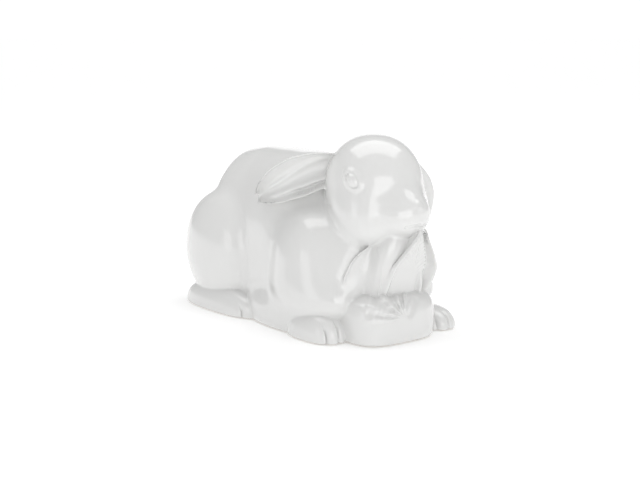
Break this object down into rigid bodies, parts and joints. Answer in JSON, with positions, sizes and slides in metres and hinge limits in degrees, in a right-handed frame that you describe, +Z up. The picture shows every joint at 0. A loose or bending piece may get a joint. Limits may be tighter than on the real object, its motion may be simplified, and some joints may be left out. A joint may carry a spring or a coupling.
{
  "type": "ceramic rabbit figurine",
  "caption": "White glazed ceramic figurine of a crouching lop-eared rabbit nibbling an upright cabbage leaf held between its forepaws, on a flat foot.",
  "frame": {"origin": "bottom centre of the figurine's bounding box, on the flat foot that it rests on", "axes": "+Z up; the rabbit faces -Y, its left side is +X, and its tail is towards +Y"},
  "size_m": [0.123, 0.2279, 0.1406],
  "materials": {
    "white_glaze": "glossy white glaze over a pale clay, thin on the edges and pooled in the creases"
  },
  "bodies": {
    "root": {"body_shell": "white_glaze", "head_shell": "white_glaze", "right_ear": "white_glaze", "left_ear": "white_glaze", "tail": "white_glaze", "right_hind_foot": "white_glaze", "left_hind_foot": "white_glaze", "right_fore_paw": "white_glaze", "left_fore_paw": "white_glaze", "cabbage_heart": "white_glaze", "upright_leaf": "white_glaze", "right_side_leaf": "white_glaze", "left_side_leaf": "white_glaze", "front_leaf": "white_glaze"}
  },
  "joints": []
}
